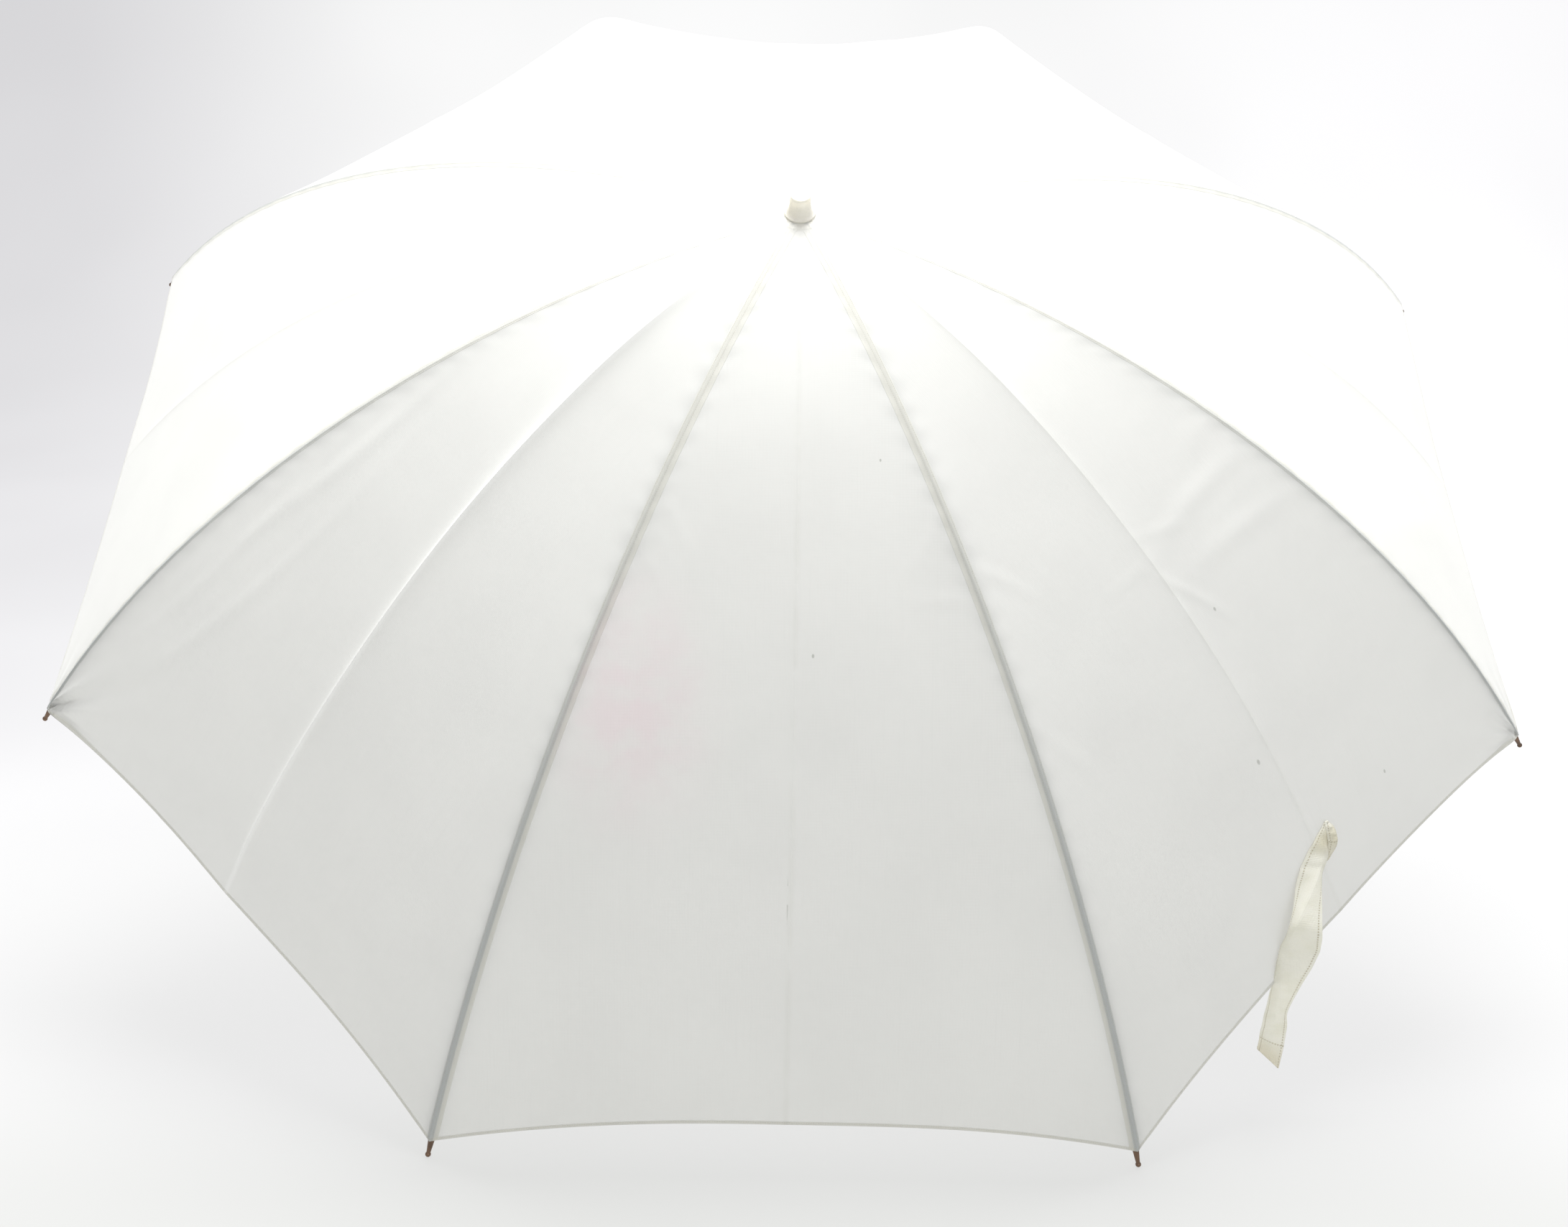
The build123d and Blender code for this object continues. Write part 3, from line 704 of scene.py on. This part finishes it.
def strap_material():
    n = Nodes("strap_cotton")
    at = n.attribute("cloth_at", "Vector")
    edge, end = n.attribute("from_seam"), n.attribute("from_hem")
    side_line = n.times(n.line(edge, 1.6, 0.15, 0.35), n.ramp(n.wave(at, STRAP_STITCHES, "Y"), 0.35, 0.6))
    end_line = n.times(n.line(end, 12, 0.2, 0.45), n.ramp(n.wave(at, STRAP_STITCHES, "X"), 0.35, 0.6))
    stitches = n.math("MAXIMUM", side_line, end_line)

    tone = n.noise(at, 90.0, 3.0)
    colour = n.mix(n.ramp(tone, 0.35, 0.7), STRAP_CREAM, STRAP_DARKER)
    colour = n.mix(n.times(n.fall(end, 0.002, 0.016), 0.5), colour, STRAP_WORN)
    colour = n.mix(n.times(n.near(at, (0.008, 0.010, 0.0), 0.012, 0.1), 0.45), colour, STRAP_DIRT)
    colour = n.mix(n.times(stitches, 0.7), colour, STRAP_THREAD)

    fuzzy = n.math("ADD", n.weave(at, 260.0, 0.8), n.noise(at, 1500.0))
    normal = n.bump(n.times(stitches, -1.0), 0.6, 0.0005, n.bump(fuzzy, 0.35, 0.0003))
    rough = n.ramp(tone, 0.3, 0.7, 0.72, 0.82)
    shader = n.principled(
        Base_Color=colour, Roughness=rough, Normal=normal, Specular_IOR_Level=0.2, Sheen_Weight=0.3,
    )
    return n.finish_thin(shader, colour, 0.4)


def plain(name, low, high, roughness, scale, metallic=0.0, stretch=(1, 1, 1)):
    """A surface whose colour drifts between two tones, with its own roughness and grain."""
    n = Nodes(name)
    at = n.scaled(n.object_place(), stretch)
    grain = n.noise(at, scale, 4.0, 0.6)
    wear = n.noise(at, scale * 0.12, 3.0, 0.6)
    colour = n.mix(n.ramp(wear, 0.35, 0.7), low, high)
    rough = n.ramp(grain, 0.25, 0.75, roughness - 0.07, roughness + 0.08)
    normal = n.bump(grain, 0.05, 0.0002)
    return n.finish(n.principled(Base_Color=colour, Roughness=rough, Normal=normal, Metallic=metallic))


def ferrule_plastic():
    """Cream moulded plastic, thin enough to let some light through, with a slow drift in tone."""
    n = Nodes("ferrule_plastic")
    at = n.object_place()
    grain = n.noise(at, 900.0, 3.0)
    colour = n.mix(n.ramp(n.noise(at, 60.0, 3.0), 0.35, 0.7), (0.93, 0.91, 0.85), (0.90, 0.87, 0.77))
    rough = n.ramp(grain, 0.25, 0.75, 0.24, 0.34)
    shader = n.principled(Base_Color=colour, Roughness=rough, Normal=n.bump(grain, 0.04, 0.0002))
    return n.finish_thin(shader, colour, 0.35)


PAPER_GLOW = (0.72, 0.72, 0.72)
PAPER_GLOW_LEFT = (0.54, 0.535, 0.55)
PAPER_GLOW_RIGHT = (0.80, 0.795, 0.805)
PAPER_GLOW_NEAR = (0.62, 0.625, 0.61)


def stage_material():
    """Pale paper with some light of its own, which fills most of the umbrella's shadow. It is dimmer behind
    the umbrella on the left and in front of it, and brighter behind it on the right."""
    n = Nodes("studio_paper")
    at = n.object_place()
    where = n.separate(at)
    x, y = where["X"], where["Y"]
    slanted = n.math("ADD", x, n.times(y, 0.3))
    glow = n.mix(n.times(n.ramp(slanted, 0.15, -0.65), n.ramp(y, -0.1, 0.45)), PAPER_GLOW, PAPER_GLOW_LEFT)
    glow = n.mix(n.times(n.ramp(x, 0.3, 1.5), n.ramp(y, 0.0, 1.2)), glow, PAPER_GLOW_RIGHT)
    glow = n.mix(n.ramp(y, -0.24, -0.40), glow, PAPER_GLOW_NEAR)
    colour = n.mix(n.ramp(n.noise(at, 1.4), 0.3, 0.7), (0.08, 0.08, 0.08), (0.10, 0.10, 0.10))
    return n.finish(n.principled(
        Base_Color=colour, Roughness=0.6, Emission_Color=glow, Emission_Strength=1.0, Specular_IOR_Level=0.1,
    ))


# ---------------------------------------------------------------- stage, lights, camera, in metres

PAPER_FRONT = -4.0
PAPER_BEND_START = 1.6
PAPER_BEND = 1.1
PAPER_TOP = 4.0
PAPER_HALF_WIDTH = 5.0


def backdrop():
    """A paper sweep: level floor, then a bend up to a wall behind the umbrella."""
    profile = [(PAPER_FRONT, 0.0), (-1.0, 0.0), (PAPER_BEND_START, 0.0)]
    for angle in np.linspace(0, math.pi / 2, 17)[1:]:
        profile.append((PAPER_BEND_START + PAPER_BEND * math.sin(angle), PAPER_BEND * (1 - math.cos(angle))))
    profile.append((PAPER_BEND_START + PAPER_BEND, PAPER_TOP))
    points = [(x, y, z) for y, z in profile for x in (-PAPER_HALF_WIDTH, PAPER_HALF_WIDTH)]
    faces = [(2 * i, 2 * i + 1, 2 * i + 3, 2 * i + 2) for i in range(len(profile) - 1)]
    new_object("backdrop", points, faces, stage_material())


def area_light(name, place, target, size, power):
    lamp = bpy.data.lights.new(name, "AREA")
    lamp.shape = "RECTANGLE"
    lamp.size, lamp.size_y = size
    lamp.energy = power
    holder = bpy.data.objects.new(name, lamp)
    holder.location = place
    holder.rotation_euler = (Vector(target) - Vector(place)).to_track_quat("-Z", "Y").to_euler()
    bpy.context.scene.collection.objects.link(holder)


def lights():
    area_light("overhead", place=(0.0, 0.84, 2.65), target=(0.0, 0.0, 0.3), size=(2.4, 1.8), power=242)
    area_light("front_fill", place=(0.7, -2.9, 1.5), target=(0.0, 0.0, 0.1), size=(3.0, 1.8), power=16)
    world = bpy.data.worlds.new("studio")
    world.use_nodes = True
    background = world.node_tree.nodes["Background"]
    background.inputs["Color"].default_value = (0.97, 0.98, 1.0, 1.0)
    background.inputs["Strength"].default_value = 0.735
    bpy.context.scene.world = world
    bpy.context.scene.view_settings.view_transform = "Standard"


CAMERA_PLACE = (-0.0193, -1.1444, 0.4955)
CAMERA_FORWARD = (0.0153, 0.9685, -0.2485)
CAMERA_RIGHT = (0.9997, -0.0101, 0.0222)
SENSOR_WIDTH = 36.0
LENS = 41.3


def camera():
    forward = Vector(CAMERA_FORWARD).normalized()
    right = Vector(CAMERA_RIGHT)
    right = (right - forward * right.dot(forward)).normalized()
    turn = Matrix((right, right.cross(forward), -forward)).transposed().to_4x4()
    data = bpy.data.cameras.new("camera")
    data.sensor_width = SENSOR_WIDTH
    data.lens = LENS
    holder = bpy.data.objects.new("camera", data)
    holder.matrix_world = Matrix.Translation(CAMERA_PLACE) @ turn
    bpy.context.scene.collection.objects.link(holder)
    bpy.context.scene.camera = holder


# ---------------------------------------------------------------- build

def dress(kinds, material):
    """Gives a material to the CAD nodes of these kinds, numbered or not."""
    for name, node in NODES.items():
        if name.rstrip("0123456789").rstrip("_") in kinds:
            for slot in node.material_slots:
                slot.material = material
            if not node.material_slots:
                node.data.materials.append(material)


cloth = canopy_material()
for gore in range(1, GORES + 1):
    for side in (-1, 1):
        half_gore(gore, side, cloth)

strap(strap_material())
crown_patch(cloth)
thread = plain("cotton_thread", (0.78, 0.77, 0.72), (0.70, 0.69, 0.63), 0.8, 2500)
for rib_number in range(1, GORES + 1):
    rib_ties(rib_number, thread)

steel = plain("drawn_steel", (0.62, 0.63, 0.64), (0.50, 0.51, 0.53), 0.30, 500, 1.0, stretch=(1, 1, 0.2))
rib_steel = plain("rib_steel", (0.46, 0.48, 0.50), (0.34, 0.36, 0.39), 0.34, 700, metallic=1.0)
bronze = plain("bronzed_tip", (0.20, 0.13, 0.09), (0.12, 0.085, 0.065), 0.36, 900, metallic=1.0)
cream = plain("cream_plastic", (0.80, 0.78, 0.70), (0.76, 0.73, 0.62), 0.30, 220)
rubber = plain("black_rubber", (0.03, 0.03, 0.03), (0.05, 0.05, 0.05), 0.6, 900)
dress(["shaft", "stop_pin", "stop_ring", "crown_wire", "runner_wire", "top_catch", "rib_rivet"], steel)
dress(["rib", "stretcher"], rib_steel)
dress(["rib_tip"], bronze)
dress(["ferrule"], ferrule_plastic())
dress(["crown_notch", "runner"], cream)
dress(["end_cap"], rubber)

backdrop()
lights()
camera()
